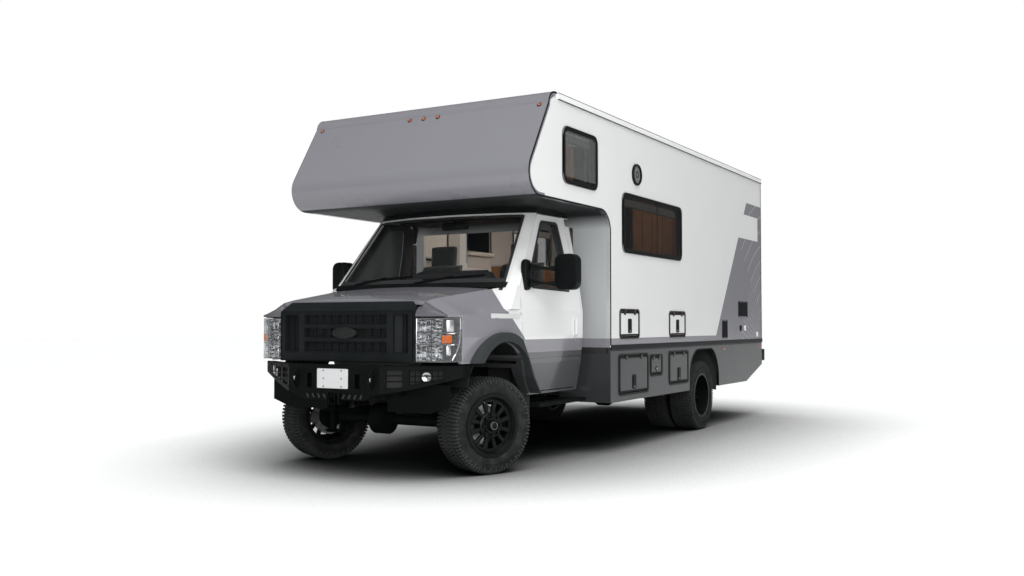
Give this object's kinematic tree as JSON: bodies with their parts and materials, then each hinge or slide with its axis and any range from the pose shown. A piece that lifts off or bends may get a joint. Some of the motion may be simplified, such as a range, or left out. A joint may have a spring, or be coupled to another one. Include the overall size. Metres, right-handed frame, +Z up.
{
  "type": "motorhome",
  "caption": "Overcab camper body on a raised van cab chassis with twin rear wheels, opening doors, lockers and hood, steered front wheels.",
  "frame": {"origin": "on the ground under the middle of the whole vehicle", "axes": "+Z up, the front faces -Y, +X is the vehicle's left side"},
  "size_m": [2.63, 7.364, 3.1559],
  "materials": {
    "chassis_black": "satin",
    "engine_grey": "rough",
    "tank_black": "matt",
    "tyre": "matt",
    "rim_black": "satin",
    "cab_white": "gloss",
    "cab_grey": "gloss",
    "grille_black": "matt",
    "bumper_black": "textured",
    "lamp_lens": "clear",
    "lamp_red": "gloss",
    "glass": "tinted",
    "seat_fabric": "woven",
    "dash_plastic": "grained",
    "body_white": "gloss",
    "skirt_grey": "satin",
    "trim_black": "satin",
    "floor_board": "satin",
    "cabinet_wood": "satin",
    "roof_plastic": "matt"
  },
  "bodies": {
    "vehicle": {"cab_seats": "seat_fabric", "cab_shell": "cab_white", "cabinets": "cabinet_wood", "cross_members": "chassis_black", "dashboard": "dash_plastic", "drive_shaft": "chassis_black", "engine_block": "engine_grey", "floor": "floor_board", "frame_rails": "chassis_black", "front_axle": "chassis_black", "front_bumper": "bumper_black", "front_wall": "body_white", "front_wings": "cab_grey", "fuel_tank": "tank_black", "grille": "grille_black", "headlamps": "lamp_lens", "lamps": "lamp_red", "mud_flaps": "tank_black", "opening_frames": "grille_black", "overcab_cap": "cab_grey", "rear_axle": "chassis_black", "rear_bumper": "bumper_black", "rear_wall": "body_white", "roof": "body_white", "roof_fittings": "roof_plastic", "running_boards": "chassis_black", "service_covers": "grille_black", "side_rails": "trim_black", "side_wall_left": "body_white", "side_wall_right": "body_white", "skirts": "skirt_grey", "storage_boxes": "tank_black", "wheel_arch_flares": "grille_black", "window_glass": "glass", "windscreen": "glass"},
    "hood": {"hood": "cab_grey"},
    "cab_door_left": {"cab_door_left": "cab_white", "door_glass_left": "glass", "mirror_left": "grille_black"},
    "cab_door_right": {"cab_door_right": "cab_white", "door_glass_right": "glass", "mirror_right": "grille_black"},
    "entry_door": {"entry_door": "body_white", "entry_door_glass": "glass"},
    "knuckle_left": {"knuckle_left": "chassis_black"},
    "knuckle_right": {"knuckle_right": "chassis_black"},
    "wheel_front_left": {"tyre_front_left": "tyre", "rim_front_left": "rim_black"},
    "wheel_front_right": {"tyre_front_right": "tyre", "rim_front_right": "rim_black"},
    "wheel_rear_left": {"tyres_rear_left": "tyre", "rims_rear_left": "rim_black"},
    "wheel_rear_right": {"tyres_rear_right": "tyre", "rims_rear_right": "rim_black"},
    "locker_left_1": {"locker_left_1": "body_white"},
    "locker_left_2": {"locker_left_2": "body_white"},
    "locker_left_3": {"locker_left_3": "skirt_grey"},
    "locker_left_4": {"locker_left_4": "skirt_grey"},
    "locker_left_5": {"locker_left_5": "skirt_grey"},
    "locker_right_1": {"locker_right_1": "skirt_grey"}
  },
  "joints": [
    {"name": "steer_left", "type": "hinge", "parent": "vehicle", "child": "knuckle_left", "pos_m": [0.745, -2.752, 0.382], "axis": [0, 0, 1], "range_deg": [-11, 55]},
    {"name": "steer_right", "type": "hinge", "parent": "vehicle", "child": "knuckle_right", "pos_m": [-0.745, -2.752, 0.382], "axis": [0, 0, 1], "range_deg": [-11, 55]},
    {"name": "spin_front_left", "type": "hinge", "parent": "knuckle_left", "child": "wheel_front_left", "pos_m": [0.745, -2.752, 0.382], "axis": [0.9272, -0.3746, 0], "continuous": true},
    {"name": "spin_front_right", "type": "hinge", "parent": "knuckle_right", "child": "wheel_front_right", "pos_m": [-0.745, -2.752, 0.382], "axis": [0.9272, -0.3746, 0], "continuous": true},
    {"name": "spin_rear_left", "type": "hinge", "parent": "vehicle", "child": "wheel_rear_left", "pos_m": [0.937, 1.261, 0.382], "axis": [1, 0, 0], "continuous": true},
    {"name": "spin_rear_right", "type": "hinge", "parent": "vehicle", "child": "wheel_rear_right", "pos_m": [-0.937, 1.261, 0.382], "axis": [1, 0, 0], "continuous": true},
    {"name": "hood_hinge", "type": "hinge", "parent": "vehicle", "child": "hood", "pos_m": [0, -2.657, 1.494], "axis": [-1, 0, 0], "range_deg": [0, 50]},
    {"name": "cab_door_left_hinge", "type": "hinge", "parent": "vehicle", "child": "cab_door_left", "pos_m": [1.002, -2.481, 1.3], "axis": [0, 0, -1], "range_deg": [0, 65]},
    {"name": "cab_door_right_hinge", "type": "hinge", "parent": "vehicle", "child": "cab_door_right", "pos_m": [-1.002, -2.481, 1.3], "axis": [0, 0, 1], "range_deg": [0, 65]},
    {"name": "entry_door_hinge", "type": "hinge", "parent": "vehicle", "child": "entry_door", "pos_m": [-1.2363, -0.055, 1.93], "axis": [0, 0, 1], "range_deg": [0, 95]},
    {"name": "locker_left_1_hinge", "type": "hinge", "parent": "vehicle", "child": "locker_left_1", "pos_m": [1.2393, -0.8045, 1.305], "axis": [0, -1, 0], "range_deg": [0, 90]},
    {"name": "locker_left_2_hinge", "type": "hinge", "parent": "vehicle", "child": "locker_left_2", "pos_m": [1.2393, 0.451, 1.299], "axis": [0, -1, 0], "range_deg": [0, 90]},
    {"name": "locker_left_3_hinge", "type": "hinge", "parent": "vehicle", "child": "locker_left_3", "pos_m": [1.2393, -0.703, 0.882], "axis": [0, -1, 0], "range_deg": [0, 90]},
    {"name": "locker_left_4_hinge", "type": "hinge", "parent": "vehicle", "child": "locker_left_4", "pos_m": [1.2393, -0.1395, 0.862], "axis": [0, -1, 0], "range_deg": [0, 90]},
    {"name": "locker_left_5_hinge", "type": "hinge", "parent": "vehicle", "child": "locker_left_5", "pos_m": [1.2393, 0.4885, 0.883], "axis": [0, -1, 0], "range_deg": [0, 90]},
    {"name": "locker_right_1_hinge", "type": "hinge", "parent": "vehicle", "child": "locker_right_1", "pos_m": [-1.2393, -0.703, 0.882], "axis": [0, 1, 0], "range_deg": [0, 90]}
  ],
  "couplings": [
    {"joint": "steer_right", "follows": "steer_left", "ratio": 1}
  ]
}
